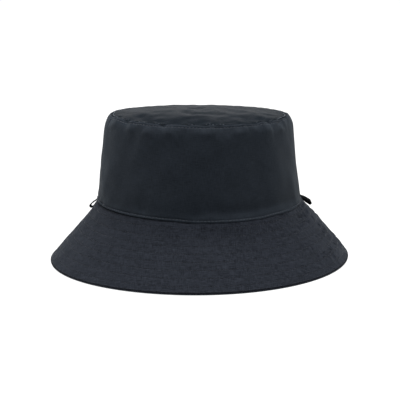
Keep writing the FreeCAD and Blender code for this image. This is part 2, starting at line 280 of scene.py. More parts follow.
def tip_stations():
    """The tip from its seam to its middle."""
    rows = []
    for share in np.linspace(1, 0, 120):
        height = TIP_SEAM_HEIGHT + TIP_DOME * (1 - share ** DOME_POWER)
        rows.append((TIP_HALF * share, height, TIP_SEAM_DIP * share ** 2, OVAL_EXTRA * share))
    return rows


WALL_TOP = SHOULDER_START * CROWN_HEIGHT
crown_line = Line(wall_stations(0.45, WALL_TOP, 0.0) + shoulder_stations())
tip_line = Line(tip_stations())
slope_line = Line(slope_stations())
brim_line = Line(slope_stations() + wall_stations(0.6, FLANGE_HEIGHT, FLANGE_DEPTH))
under_line = Line(slope_stations(True)
                  + wall_stations(0.0, FLANGE_HEIGHT, FLANGE_DEPTH + BRIM_THICK))
SLOPE_TOP = slope_line.length
UNDER_TOP = Line(slope_stations(True)).length
SLOPE_LENGTH = math.hypot(RIM_HALF - BRIM_TOP[0], BRIM_TOP[1])      # straight, without the bow
ROWS_DOWN = [SLOPE_LENGTH * (ROW_FIRST + ROW_PITCH * row) for row in range(ROW_COUNT)]
EDGE_DOWN = SLOPE_LENGTH * EDGE_ROW
ALL_ROWS = ROWS_DOWN + [EDGE_DOWN]
shoulder_rise = (CROWN_HEIGHT - WALL_TOP) * math.sin(math.radians(SHOULDER_ROW))
SHOULDER_PLACE = float(np.interp(SEAM_HEIGHT + WALL_TOP + shoulder_rise,
                                 crown_line.columns[1], crown_line.along))
# The brim laid out flat is part of a ring: its share of a full turn, and its inner radius
CONE_SHARE = (RIM_HALF - BRIM_TOP[0]) / SLOPE_LENGTH
FLAT_REACH = slope_line.radius(SLOPE_TOP) / CONE_SHARE


def side_distance(line, along, angle):
    """How far round the hat the nearest side seam is, in millimetres."""
    near = np.arcsin(np.clip(np.abs(np.sin(angle)), 0, 1))
    return near * line.radius(along)


def at_front(angle):
    """0 from the sides backwards, rising to 1 over the front."""
    return smooth_step(-np.sin(angle) * 2)


# The relief's places, widths and heights are in millimetres, as x, as a distance up a line or
# down the slope, or as a height off the cloth. Every bump has a seed of its own
def base_fold(x, angle):
    """How far the slack cloth flares out over the seam, and the share of its fullest part."""
    reach = np.clip(1 - ((x - 40) / 48) ** 2, 0, 1) ** 0.7
    left_part = dent(x - 78, 15)
    right_part = dent(x + 36, 42)
    front = at_front(angle)
    return front * (3.8 * reach + 1.2 * left_part + 1.0 * right_part) + 0.2, front * reach


def crown_relief(along, angle):
    """How far the side wall's outside stands proud of its line."""
    points = crown_line.place(along, angle)
    x = points[..., 0]
    up = crown_line.length - along
    front = at_front(angle)
    near_side = np.abs(np.cos(angle))
    slow = 0.34 * waves(points, 46, 11, (1, 1, 1.6))
    quick = 0.18 * waves(points, 17, 12, (1, 1, 1.5))
    relief = (slow + quick) * (smooth_step(along / 6) * smooth_step(up / 8))
    belly = np.sin(math.pi * np.clip(along / crown_line.length, 0, 1) ** 0.8)
    relief += (0.75 - 0.5 * np.cos(angle)) * belly
    # the soft fold that lies on the seam at the front
    fold, reach = base_fold(x, angle)
    fold_top = 6.2 + 2.2 * dent(x - 18, 17) + 1.5 * dent(x - 66, 22)
    share = np.clip(along / fold_top, 0, 1)
    relief += fold * (1 - share) ** 1.35 * (0.85 + 0.15 * smooth_step(along / 1.8))
    relief -= 0.15 * fold * dent(along - fold_top - 1.5, 3.5)
    # the flare at the sides, and small folds along the rest of the base
    relief += 0.9 * near_side ** 3 * np.clip(1 - along / 9, 0, 1) ** 1.5
    elsewhere = (1 - reach) * np.exp(-along / 7) * smooth_step(along / 2.2)
    relief += 0.45 * elsewhere * waves(points, 13, 13, (1, 1, 3))
    # puckers and puffs below the tip's seam
    front_most = 0.3 + 0.7 * front
    gather = np.exp(-up / 6.5) * smooth_step(up / 1.6) * front_most
    coarse = 0.9 * waves(points, 15, 14, (1, 1, 2.0))
    fine = 0.35 * waves(points, 7, 15, (1, 1, 2.0))
    relief += gather * (coarse + fine)
    relief -= 0.9 * front * dent(x + 9, 2.2) * np.exp(-up / 7) * smooth_step(up / 1.6)
    puffs = np.clip(0.5 + waves(points, 19, 16, (1, 1, 1.5)), 0, 2) * front_most
    relief += 0.55 * puffs * dent(up - 8.5, 3.6)
    # turned edges and stitch rows
    relief += (0.3 + 0.45 * near_side) * dent(along - 0.5, 0.95)
    relief -= 0.45 * dent(along - BASE_ROW - 0.5, 0.6)
    relief += 0.22 * dent(up - 0.9, 0.7) - 0.32 * dent(along - SHOULDER_PLACE, 0.55)
    relief -= 0.45 * dent(along, 0.35) + 0.75 * dent(up, 0.35)
    side = side_distance(crown_line, along, angle)
    relief += 0.18 * dent(side - 1.2, 0.8) - 0.22 * dent(side - SIDE_ROW, 0.5)
    relief -= 0.6 * dent(side, 0.45)
    return np.maximum(relief, -1.5)


def tip_relief(along, angle):
    """How far the tip's cloth stands proud of its line."""
    points = tip_line.place(along, angle)
    y = points[..., 1]
    back = smooth_step((y + 60) / 130)
    within = smooth_step(along / 7)
    relief = np.zeros_like(y) - 0.55 * smooth_step(along / 30)
    relief += 1.6 * (1 - back) * smooth_step(along / 32)
    relief += within * (0.34 - 0.14 * back) * waves(points, 27, 21, (1.1, 1.3, 1))
    relief += within * (0.20 - 0.10 * back) * waves(points, 13, 22, (1, 1.3, 1))
    # gathers, the turned edge and the stitch row along the seam
    gather = np.exp(-along / 8) * smooth_step(along / 1.5) * (1 - 0.6 * back)
    relief += gather * (0.40 * waves(points, 12, 23) + 0.18 * waves(points, 6, 24))
    relief += 0.25 * dent(along - 0.9, 0.7) - 0.34 * dent(along - TIP_ROW, 0.55)
    relief -= 0.75 * dent(along, 0.35)
    return np.maximum(relief, -1.9)


def brim_wave(down, angle):
    """What all of the brim's layers share, down the slope: a hollow front, slow unevenness."""
    points = slope_line.place(SLOPE_TOP - down, angle)
    share = np.clip(down / SLOPE_TOP, 0, 1)
    hollow = 2.0 * smooth_step(-1.5 * np.sin(angle)) * 4 * share * (1 - share)
    uneven = 0.22 * waves(points, 42, 30)
    return uneven * smooth_step(down / 16) * smooth_step((SLOPE_TOP - down) / 6) - hollow


def quilting(down, angle, seed):
    """How far one of the brim's faces stands proud of brim_wave, between and at its rows."""
    points = slope_line.place(SLOPE_TOP - down, angle)
    side = np.abs(np.cos(angle)) ** 1.5 * (1 - 0.6 * dent(np.sin(angle), 0.25))
    left_end = np.clip(np.cos(angle), 0, 1) ** 1.5
    # slanting puckers, each band with a drift of its own
    puckers = np.zeros_like(points[..., 0])
    edges = [0.0] + ALL_ROWS
    slanted = angle * slope_line.radius(SLOPE_TOP - down) + 0.4 * down
    for number, (high, low) in enumerate(zip(edges, edges[1:])):
        share = np.clip((down - high) / (low - high), 0, 1)
        band = np.where((down > high) & (down <= low), np.sin(math.pi * share), 0)
        drift = 3.2 * waves(points, 17, seed + 40 + number) + 2.1 * number
        puckers += band * np.sin(TURN * slanted / PUCKER_PITCH + drift)
    strength = 0.06 + 0.19 * side + 0.19 * left_end
    uneven = np.clip(1 + 0.9 * waves(points, 17, seed + 3), 0.0, 2.2)
    relief = 0.08 + puckers * strength * uneven + 0.06 * waves(points, 7, seed + 5)
    for place in ALL_ROWS:
        relief -= (0.05 + 0.19 * side) * dent(down - place, 0.75)
    relief *= smooth_step(down / 3) * smooth_step((SLOPE_TOP - down) / 1.5)
    # the rolled rim, the crown's seam and the side seams
    relief += 0.25 * dent(down - SLOPE_TOP + 1.0, 0.7) + 0.35 * dent(down, 0.9)
    seam = side_distance(slope_line, SLOPE_TOP - down, angle)
    relief += smooth_step(down / 3) * (0.16 * dent(seam - 1.2, 0.7) - 0.45 * dent(seam, 0.45))
    return np.clip(relief, -0.5, 0.9) * smooth_step((2 + down) / 2)


def upper_relief(along, angle):
    """The brim's upper face, which the slack cloth of the wall presses outwards at its top."""
    down = SLOPE_TOP - along
    fold = base_fold(slope_line.place(SLOPE_TOP, angle)[..., 0], angle)[0]
    swell = 1.0 * np.clip(np.cos(angle), 0, 1) ** 3 * dent(down, 9)
    rise = smooth_step(down / 0.6) * ((0.35 + 0.76 * fold) * dent(down, 9) + swell)
    rim = 0.55 * dent(along, 0.45)
    return brim_wave(down, angle) + quilting(down, angle, 31) + rise - rim


def under_relief(along, angle):
    """The brim's under face, with its puckers turned downwards."""
    down = UNDER_TOP - along
    return brim_wave(down, angle) - quilting(down, angle, 35) - 0.45 * dent(along, 0.4)


def lining_relief(along, angle, line, start=0.0):
    """Slack in the lining, only ever inwards, from a starting place up its line."""
    points = line.place(along, angle)
    slack = 0.7 + 0.5 * waves(points, 26, 51, (1, 1, 2))
    slack += 0.25 * waves(points, 10, 52, (1, 1, 2.4))
    return -np.clip(slack, 0.0, 2.2) * smooth_step((along - start) / 10)


def band_relief(along, angle):
    """The sweatband leans inwards a little, with a wavy upper edge."""
    points = crown_line.place(along, angle)
    slack = 0.35 + 0.30 * waves(points, 42, 61) + 0.08 * waves(points, 12, 62)
    return -np.clip(slack, 0.0, 1.1) * smooth_step((along - 3) / 20)


def make_mesh(name, points, faces, cloth):
    """A mesh object from points in millimetres, with its cloth coordinates in millimetres."""
    mesh = bpy.data.meshes.new(name)
    mesh.from_pydata((np.asarray(points) * MM).tolist(), [], faces)
    mesh.validate()
    mesh.polygons.foreach_set("use_smooth", [True] * len(mesh.polygons))
    flat = np.zeros((len(mesh.vertices), 3), np.float32)
    flat[:, :2] = cloth
    attribute = mesh.attributes.new("cloth", "FLOAT_VECTOR", "POINT")
    attribute.data.foreach_set("vector", flat.ravel())
    mesh.set_sharp_from_angle(angle=math.radians(50))
    obj = bpy.data.objects.new(name, mesh)
    bpy.context.scene.collection.objects.link(obj)
    return obj


def shell(name, outer, inner, cloth):
    """A closed sheet between two grids: rows run up the section, columns round the hat."""
    rows, columns = outer.shape[:2]
    count = rows * columns
    index = np.arange(count).reshape(rows, columns)
    a, b, c, d = index[:-1, :-1], index[:-1, 1:], index[1:, 1:], index[1:, :-1]
    quads = [np.stack([a, b, c, d], -1).reshape(-1, 4),
             np.stack([a, d, c, b], -1).reshape(-1, 4) + count]
    for border in (index[0, ::-1], index[-1, :], index[:, 0], index[::-1, -1]):
        first, second = border[:-1], border[1:]
        quads.append(np.stack([first, second, second + count, first + count], -1))
    points = np.concatenate([outer.reshape(-1, 3), inner.reshape(-1, 3)])
    faces = np.concatenate(quads).tolist()
    return make_mesh(name, points, faces, np.tile(cloth.reshape(-1, 2), (2, 1)))


def domed(name, outer, inner, cloth):
    """A closed round sheet between two grids that go all the way round and end in one point."""
    rows, columns = outer.shape[:2]
    count = (rows - 1) * columns + 1
    index = np.arange((rows - 1) * columns).reshape(rows - 1, columns)
    following = np.roll(index, -1, axis=1)
    quads = np.stack([index[:-1], following[:-1], following[1:], index[1:]], -1).reshape(-1, 4)
    fan = np.stack([index[-1], following[-1], np.full(columns, count - 1)], -1)
    rim = np.stack([index[0], index[0] + count, following[0] + count, following[0]], -1)
    faces = quads.tolist() + fan.tolist() + rim.tolist()
    faces += (quads[:, ::-1] + count).tolist() + (fan[:, ::-1] + count).tolist()

    def flatten(grid):
        return np.concatenate([grid[:-1].reshape(-1, grid.shape[-1]), grid[-1:, 0]])

    points = np.concatenate([flatten(outer), flatten(inner)])
    return make_mesh(name, points, faces, np.tile(flatten(cloth), (2, 1)))


def crowded(low, high, step, spots=()):
    """A column of places from low to high, a step apart, that crowd together near the spots."""
    places = list(np.arange(low, high, step)) + [high]
    for spot in spots:
        places += [spot + offset for offset in (-1.0, -0.6, -0.3, 0.0, 0.3, 0.6, 1.0)]
    places = np.unique(np.clip(places, low, high))
    return places[np.concatenate([[True], np.diff(places) > FINEST_STEP])][:, None]


def full_turn(columns):
    """A row of angles all the way round the hat."""
    return np.linspace(0, TURN, columns, endpoint=False)[None, :]


def half_turn(start, columns, gap=-0.0001):
    """A row of angles round half of the hat, crowded near both ends, where the side seams are."""
    share = np.linspace(0, 1, columns)
    ends = np.radians([0.15, 0.35, 0.6, 0.9, 1.25, 1.65])
    inner = start + gap + (math.pi - 2 * gap) * share
    ends = ends[ends > gap]
    return np.unique(np.concatenate([inner, start + ends, start + math.pi - ends]))[None, :]


def faces_of(line, along, angle, relief, *depths):
    """Grids of points on a cloth's two faces, by how deep below its relief they are."""
    return [line.place(along, angle, relief - depth) for depth in depths]


def wall_cloth(along, angle):
    """Straight-grain cloth coordinates on the side wall."""
    middle = (angle.min() + angle.max()) / 2
    width = (angle - middle) * crown_line.radius(0.0)
    return np.stack(np.broadcast_arrays(width, along), -1)


def brim_cloth(down, angle):
    """Cloth coordinates on the brim, laid out flat as the piece was cut."""
    middle = (angle.min() + angle.max()) / 2
    spread = (angle - middle) * CONE_SHARE
    reach = FLAT_REACH + down
    return np.stack([reach * np.sin(spread), reach * np.cos(spread)], -1)


made = {}


def keep(obj, node, slot, body="hat"):
    """The object stands for a CAD node, rides with its body and takes its material slot."""
    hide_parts(node)
    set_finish(obj, slot)
    if body:
        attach(obj, body)
    made[node] = obj


def crown_panel(half, start):
    """Half of the side wall, doubled where its allowances are turned in."""
    length = crown_line.length
    along = crowded(0.0, length, PANEL_STEP, (0.3, BASE_ROW, SHOULDER_PLACE, length - 0.3))
    angle = half_turn(start, PANEL_COLUMNS)
    relief = crown_relief(along, angle)
    turned = smooth_step((9 - along) / 1.5) + smooth_step((along - length + 8) / 1.5)
    thick = CROWN_CLOTH * (1 + TURNED_SHARE * turned)
    grids = faces_of(crown_line, along, angle, relief, 0, thick)
    name = "crown_%s_panel" % half
    keep(shell(name + "_cloth", *grids, wall_cloth(along, angle)), name, "crown_cloth")


def lining_panel(half, start):
    """Half of the lining's wall."""
    length = crown_line.length
    along = crowded(0.4, length - 0.4, LINING_STEP)
    angle = half_turn(start, LINING_COLUMNS)
    relief = lining_relief(along, angle, crown_line, BAND_HEIGHT)
    relief *= smooth_step((length - along) / 5)
    grids = faces_of(crown_line, along, angle, relief, *LINING_DEPTHS)
    name = "lining_%s_panel" % half
    keep(shell(name + "_cloth", *grids, wall_cloth(along, angle)), name, "lining_cloth")


def crown_tip():
    """The round top, doubled where its allowance is turned in."""
    along = crowded(0.0, tip_line.length, TIP_STEP, (0.3, TIP_ROW))
    angle = full_turn(TIP_COLUMNS)
    relief = tip_relief(along, angle)
    thick = CROWN_CLOTH * (1 + TURNED_SHARE * smooth_step((8 - along) / 1.5))
    grids = faces_of(tip_line, along, angle, relief, 0, thick)
    keep(domed("crown_tip_cloth", *grids, grids[0][..., :2]), "crown_tip", "crown_cloth")


def lining_tip():
    """The round top of the lining."""
    along = crowded(0.6, tip_line.length, TIP_LINING_STEP)
    angle = full_turn(TIP_LINING_COLUMNS)
    relief = lining_relief(along, angle, tip_line) * smooth_step((along - 2) / 10)
    grids = faces_of(tip_line, along, angle, relief, *LINING_DEPTHS)
    keep(domed("lining_tip_cloth", *grids, grids[0][..., :2]), "lining_tip", "lining_cloth")


def brim_layer(layer, half, start):
    """Half of the brim's upper or under layer, with its flange up into the crown's seam."""
    upper = layer == "upper"
    line, top, relief = ((brim_line, SLOPE_TOP, upper_relief) if upper
                         else (under_line, UNDER_TOP, under_relief))
    along = crowded(0.0, line.length, BRIM_STEP, [top - down for down in ALL_ROWS] + [0.3, 1.4])
    angle = half_turn(start, BRIM_COLUMNS)
    hidden = -UPPER_DEPTH if upper else BRIM_THICK - UNDER_DEPTH
    grids = [line.place(along, angle, relief(along, angle)),
             line.place(along, angle, brim_wave(top - along, angle) + hidden)]
    if not upper:
        grids.reverse()
    name = "brim_%s_%s" % (layer, half)
    keep(shell(name + "_cloth", *grids, brim_cloth(top - along, angle)), name, "brim_cloth")


def brim_interlining(half, start):
    """Half of the stiffener between the brim's layers."""
    along = crowded(1.0, SLOPE_TOP - 1.5, INTERLINING_STEP)
    angle = half_turn(start, INTERLINING_COLUMNS, 0.015)
    wave = brim_wave(SLOPE_TOP - along, angle)
    grids = faces_of(slope_line, along, angle, wave, *INTERLINING_DEPTHS)
    name = "brim_interlining_" + half
    cloth = brim_cloth(SLOPE_TOP - along, angle)
    keep(shell(name + "_sheet", *grids, cloth), name, "interlining")


def sweatband():
    """The tape round the head opening, with a narrow gap at the back where its ends meet."""
    along = crowded(0.4, BAND_HEIGHT, BAND_STEP, (0.6, BASE_ROW, BAND_HEIGHT - 0.6))
    back, gap = math.pi / 2, 0.003
    angle = np.linspace(back + gap, back + TURN - gap, BAND_COLUMNS)[None, :]
    sunk = 0.35 * (dent(along - 0.4, 0.3) + dent(along - BAND_HEIGHT, 0.3))
    sunk += 0.2 * dent(along - BASE_ROW, 0.5)
    grids = faces_of(crown_line, along, angle, band_relief(along, angle),
                     BAND_DEPTH + 0.5 * sunk, BAND_DEPTH + BAND_CLOTH - 0.8 * sunk)
    cloth = wall_cloth(along, angle)
    keep(shell("sweatband_tape", *grids, cloth), "sweatband", "sweatband_cloth")


HALVES = {"front": math.pi, "back": 0.0}     # the angle at which each half starts
for half, start in HALVES.items():
    crown_panel(half, start)
    lining_panel(half, start)
crown_tip()
lining_tip()
for half, start in HALVES.items():
    brim_layer("upper", half, start)
    brim_layer("under", half, start)
    brim_interlining(half, start)
sweatband()


def tubes(name, centres):
    """Stitches as slim tubes. centres(share, across, lift) gives grids with one row a stitch."""
    share = np.linspace(0, 1, TUBE_RINGS)[:, None]
    turn = np.linspace(0, TURN, TUBE_SIDES, endpoint=False)[None, :]
    count = TUBE_RINGS * TUBE_SIDES
    arch = np.sin(math.pi * share)
    thick = THREAD_RADIUS * (0.55 + 0.45 * arch)
    hump = STITCH_HUMP * arch - STITCH_SUNK
    grids = centres(share, thick * np.cos(turn), hump + thick * np.sin(turn))
    points = np.concatenate([grid.reshape(-1, count, 3) for grid in grids])
    ring = np.arange(count).reshape(TUBE_RINGS, TUBE_SIDES)
    following = np.roll(ring, -1, axis=1)
    quads = np.stack([ring[:-1], ring[1:], following[1:], following[:-1]], -1)
    shapes = quads.reshape(-1, 4).tolist() + [ring[0].tolist(), ring[-1, ::-1].tolist()]
    faces = [[corner + number * count for corner in shape]
             for number in range(len(points)) for shape in shapes]
    length = np.repeat(share.ravel() * STITCH_LENGTH, TUBE_SIDES)
    cloth = np.column_stack([length, np.tile(turn.ravel(), TUBE_RINGS)])
    return make_mesh(name, points.reshape(-1, 3), faces, np.tile(cloth, (len(points), 1)))


def ring_stitches(name, faces):
    """Stitches round the hat on each face of the cloth.

    A face is its line, the place on it, its relief and its way out: 1 or -1. Stitches on a face
    that looks inwards lie half a stitch further round.
    """
    radius = faces[0][0].radius(faces[0][1])
    count = int(TURN * radius / STITCH_PITCH)
    starts = (np.arange(count) * TURN / count + 0.004)[:, None, None]
    reach = STITCH_LENGTH / radius

    def centres(share, across, lift):
        grids = []
        for line, place, relief, way in faces:
            angle = starts + share[None] * reach + (0.5 * reach if way < 0 else 0)
            base = relief(place + 0 * across[None], angle)
            along = place + across[None] * way
            grids.append(line.place(along, angle, base + way * lift[None]))
        return grids

    return tubes(name, centres)


def upright_stitches(name, seam):
    """Two upright rows of stitches, one on each side of a side seam."""
    low, high = 3.0, SHOULDER_PLACE - 2
    count = int((high - low) / STITCH_PITCH)
    starts = (low + np.arange(count) * STITCH_PITCH)[:, None, None]

    def centres(share, across, lift):
        grids = []
        for offset in (-SIDE_ROW, SIDE_ROW):
            along = starts + share[None] * STITCH_LENGTH
            middle = seam + offset / crown_line.radius(along)
            angle = middle - across[None] / crown_line.radius(along)
            base = crown_relief(along, middle)
            grids.append(crown_line.place(along + across[None] * 0, angle, base + lift[None]))
        return grids

    return tubes(name, centres)


def band_face(along, angle):
    """The sweatband's inner face along its stitching."""
    return band_relief(along, angle) - BAND_DEPTH - BAND_CLOTH + BAND_GROOVE


def inside(relief):
    """The inner face of doubled crown cloth, from its outer face's relief."""
    return lambda along, angle: relief(along, angle) - (1 + TURNED_SHARE) * CROWN_CLOTH


brim_rows = {"brim_stitch_row_%d" % number: down for number, down in enumerate(ROWS_DOWN, 1)}
for node, down in {**brim_rows, "brim_edge_stitch": EDGE_DOWN}.items():
    faces = ((brim_line, SLOPE_TOP - down, upper_relief, 1),
             (under_line, UNDER_TOP - down, under_relief, -1))
    keep(ring_stitches(node + "_thread", faces), node, "thread")
CROWN_ROWS = {
    "base": ("base_topstitch", crown_line, BASE_ROW, crown_relief, band_face),
    "shoulder": ("tip_topstitch_lower", crown_line, SHOULDER_PLACE, crown_relief,
                 inside(crown_relief)),
    "tip": ("tip_topstitch_upper", tip_line, TIP_ROW, tip_relief, inside(tip_relief)),
}
for name, (node, line, place, outer, inner) in CROWN_ROWS.items():
    faces = ((line, place, outer, 1), (line, place, inner, -1))
    keep(ring_stitches(name + "_thread", faces), node, "thread")
for side, seam in (("left", 0.0), ("right", math.pi)):
    keep(upright_stitches(side + "_side_thread", seam), side + "_side_seam_stitch", "thread")


def hinge_frame(name):
    """A hinge's frame in metres, X level and out of the hat and Z up, and its way out."""
    joint = next(joint for joint in frame["joints"] if joint["name"] == name)
    axis, place = Vector(joint["axis"]), Vector(joint["pos_m"])
    up = Vector((0, 0, 1))
    out = axis.cross(up)
    if out.dot(Vector((place.x, place.y, 0))) <= 0:
        out = -out
    out.normalize()
    turn = Matrix((out, up.cross(out), up)).transposed().to_4x4()
    return Matrix.Translation(place) @ turn, out


def ribbon(name, path, width, thickness, columns, twist=0.0, bow=0.0):
    """A flat tape along a path in the XZ plane, in millimetres, with its width along Y.

    twist turns its far part about the path, and bow curves it across.
    """
    path = np.array(path)
    steps = np.hypot(*np.diff(path, axis=0).T)
    run = np.concatenate([[0], np.cumsum(steps)])
    run_even = np.linspace(0, run[-1], max(int(run[-1] / RIBBON_STEP), 12))
    path = np.column_stack([np.interp(run_even, run, path[:, k]) for k in range(2)])
    for _ in range(3):
        path[1:-1] = (path[:-2] + 2 * path[1:-1] + path[2:]) / 4
    slope = np.gradient(path, axis=0)
    slope /= np.hypot(slope[:, 0], slope[:, 1])[:, None]
    normal = np.column_stack([-slope[:, 1], slope[:, 0]])
    across = np.linspace(-0.5, 0.5, columns)[None, :]
    bulge = bow * (1 - 4 * across ** 2)
    soft_edge = 1 - 0.45 * dent(np.abs(across) - 0.5, 0.06)
    faces = []
    for side in (1, -1):
        lift = side * thickness / 2 * soft_edge + bulge
        x = path[:, :1] + normal[:, :1] * lift
        z = path[:, 1:] + normal[:, 1:] * lift
        y = np.broadcast_to(across * width, x.shape)
        faces.append(np.stack([x, y, z], -1))
    if twist:
        for grid in faces:
            out = grid[..., 0]
            turn = twist * smooth_step(out / (0.5 * out.max()))
            y, z = grid[..., 1].copy(), grid[..., 2].copy()
            middle = np.polyval(np.polyfit(path[:, 0], path[:, 1], 2), out)
            grid[..., 1] = y * np.cos(turn) - (z - middle) * np.sin(turn)
            grid[..., 2] = middle + y * np.sin(turn) + (z - middle) * np.cos(turn)
    cloth = np.stack(np.broadcast_arrays(across * width, run_even[:, None]), -1)
    return shell(name, faces[0], faces[1], cloth)


def loop_path(droop, length, tip_half):
    """A folded tape from inside the brim's seam, out along the slope and back."""
    spine = np.linspace(-LOOP_HIDDEN, length - tip_half - 0.45, 60)
    bend = -math.radians(droop) * smooth_step((spine + 1.2) / 3.0)
    step = np.diff(spine, prepend=spine[0])
    x = np.cumsum(np.cos(bend) * step)
    z = np.cumsum(np.sin(bend) * step)
    zero = np.interp(0, spine, x), np.interp(0, spine, z)
    x, z = x - zero[0], z - zero[1]
    opening = smooth_step((spine - 1.5) / (length - 5.5))
    half = LOOP_ROOT_HALF + (tip_half - LOOP_ROOT_HALF) * opening
    upper = np.column_stack([x - np.sin(bend) * half, z + np.cos(bend) * half])
    lower = np.column_stack([x + np.sin(bend) * half, z - np.cos(bend) * half])
    turns = np.linspace(math.pi / 2, -math.pi / 2, 16)[1:-1] + bend[-1]
    far = [(x[-1] + tip_half * math.cos(turn), z[-1] + tip_half * math.sin(turn))
           for turn in turns]
    return np.concatenate([upper, far, lower[::-1]])


def label_path(length):
    """A label from behind the sweatband, over its edge and down its inner face."""
    points = [(2.62, -4.0), (2.6, -1.0), (2.5, 0.35), (2.05, 1.0), (1.3, 1.15), (0.55, 0.8),
              (0.1, 0.0), (0.0, -2.0)]
    for drop in np.linspace(5, length, 8):
        share = drop / length
        points.append((-0.5 * math.sin(math.pi * share) - 0.25 * share ** 3, -drop))
    return points


# Each loop's joint, droop in degrees, length, half thickness at its tip, and twist in radians
LOOPS = {"left_loop": ("left_loop_flop", 33.0, 14.4, 1.15, 0.42),
         "right_loop": ("right_loop_flop", 44.5, 12.7, 1.45, -0.04)}
for name, (joint, droop, length, tip_half, twist) in LOOPS.items():
    place, out = hinge_frame(joint)
    path = loop_path(droop, length, tip_half)
    tape = ribbon(name + "_tape", path, LOOP_WIDTH, LOOP_THICK, LOOP_COLUMNS, twist)
    tape.data.transform(place)
    keep(tape, name, "loop_tape", body=None)
    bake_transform(tape)

# Each label's joint, width and free length
LABELS = {"care_label": ("care_label_swing", 24.0, 36.0),
          "size_label": ("size_label_swing", 14.0, 18.0)}
for name, (joint, width, length) in LABELS.items():
    place, out = hinge_frame(joint)
    path = label_path(length)
    satin = ribbon(name + "_satin", path, width, LABEL_THICK, LABEL_COLUMNS, bow=LABEL_BOW)
    satin.data.transform(place)
    keep(satin, name, "label_satin", body=None)
    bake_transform(satin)


# Materials. First how deep the fine relief in the shaders is, in metres
WEAVE_DEPTH = 0.00005
RIB_DEPTH = 0.0001
FLECK_DEPTH = 0.00006
PLY_DEPTH = 0.00006
FIBRE_DEPTH = 0.00012


class Nodes:
    """Short names for building a node tree."""

    def __init__(self, name):
        self.material = bpy.data.materials.new(name)
        self.material.use_nodes = True
        self.tree = self.material.node_tree
        self.bsdf = self.tree.nodes["Principled BSDF"]

    def fill(self, node, inputs):
        """Sets a node's inputs to values, or links them to other nodes' outputs."""
        for key, value in inputs.items():
            if isinstance(value, bpy.types.NodeSocket):
                self.tree.links.new(value, node.inputs[key])
            else:
                node.inputs[key].default_value = value

    def add(self, kind, inputs, **settings):
        node = self.tree.nodes.new(kind)
        for key, value in settings.items():
            setattr(node, key, value)
        self.fill(node, inputs)
        return node

    def compute(self, operation, *values):
        """A Math node of numbers or other nodes' outputs."""
        return self.add("ShaderNodeMath", dict(enumerate(values)), operation=operation).outputs[0]

    def plus(self, first, second):
        return self.compute("ADD", first, second)

    def minus(self, first, second):
        return self.compute("SUBTRACT", first, second)

    def times(self, first, second):
        return self.compute("MULTIPLY", first, second)

    def sine(self, value):
        return self.compute("SINE", value)

    def cloth(self):
        return self.add("ShaderNodeAttribute", {}, attribute_name="cloth").outputs["Vector"]

    def split(self, vector):
        return self.add("ShaderNodeSeparateXYZ", {0: vector}).outputs[:2]

    def scaled(self, vector, x, y):
        inputs = {0: vector, 1: (x, y, 1.0)}
        return self.add("ShaderNodeVectorMath", inputs, operation="MULTIPLY").outputs[0]

    def noise(self, vector, scale, detail=3.0, rough=0.55):
        inputs = {"Vector": vector, "Scale": scale, "Detail": detail, "Roughness": rough}
        return self.add("ShaderNodeTexNoise", inputs).outputs["Fac"]

    def ramp(self, fac, low, dark, high, light):
        """From the dark colour at the low place to the light one at the high place."""
        node = self.add("ShaderNodeValToRGB", {0: fac})
        elements = node.color_ramp.elements
        for element, place, colour in zip(elements, (low, high), (dark, light)):
            element.position = place
            element.color = (*colour, 1)
        return node.outputs[0]

    def bump(self, height, distance, strength, before=None):
        """Fine relief, on top of the one before it."""
        inputs = {"Height": height, "Distance": distance, "Strength": strength}
        if before is not None:
            inputs["Normal"] = before
        return self.add("ShaderNodeBump", inputs).outputs[0]

    def finish(self, colour, roughness, normal, sheen, sheen_tint=(1, 1, 1), sheen_rough=0.5,
               specular=0.5):
        self.fill(self.bsdf, {
            "Base Color": colour, "Roughness": roughness, "Normal": normal,
            "Sheen Weight": sheen, "Sheen Roughness": sheen_rough,
            "Sheen Tint": (*sheen_tint, 1), "Specular IOR Level": specular})
        return self.material


def weave_height(nodes, uv, pitch):
    """Plain weave: over and under in turn, both ways."""
    u, v = nodes.split(uv)
    u = nodes.times(u, math.pi / pitch)
    v = nodes.times(v, math.pi / pitch)
    warp = nodes.times(nodes.compute("ABSOLUTE", nodes.sine(u)), nodes.sine(nodes.plus(v, u)))
    weft = nodes.times(nodes.compute("ABSOLUTE", nodes.sine(v)), nodes.sine(nodes.minus(v, u)))
    return nodes.plus(nodes.times(warp, 0.5), nodes.times(weft, 0.5))


def woven(name, dark, light, pitch=0.5, heather=1.0, roughness=0.85, sheen=0.3, sheen_rough=0.5,
          specular=0.3, sheen_tint=(0.8, 0.9, 1.0), fuzz=0.00012, blotch=0.5):
    """Woven cloth: yarns of slightly different shade both ways, a plain weave, a little fuzz.

    heather is how much the yarns differ, and blotch how much larger patches do.
    """
    nodes = Nodes(name)
    uv = nodes.cloth()
    warp = nodes.noise(nodes.scaled(uv, 1.6, 0.16), 1.0)
    weft = nodes.noise(nodes.scaled(uv, 0.16, 1.6), 1.0)
    fleck = nodes.noise(uv, 1.1, 2.0, 0.7)
    patch = nodes.noise(uv, 0.045, 3.0)
    mixed = nodes.plus(nodes.plus(warp, weft), nodes.times(fleck, 0.8))
    mixed = nodes.plus(mixed, nodes.times(patch, blotch))
    middle = 1.4 + 0.5 * blotch
    spread = nodes.times(nodes.minus(mixed, middle), 1.7 * heather)
    colour = nodes.ramp(nodes.plus(spread, 0.5), 0.0, dark, 1.0, light)
    normal = nodes.bump(weave_height(nodes, uv, pitch), WEAVE_DEPTH, 0.8)
    normal = nodes.bump(nodes.noise(uv, 0.35, 3.0), fuzz, 0.8, normal)
    rough = nodes.plus(nodes.times(fleck, 0.16), roughness - 0.08)
    return nodes.finish(colour, rough, normal, sheen, sheen_tint, sheen_rough, specular)


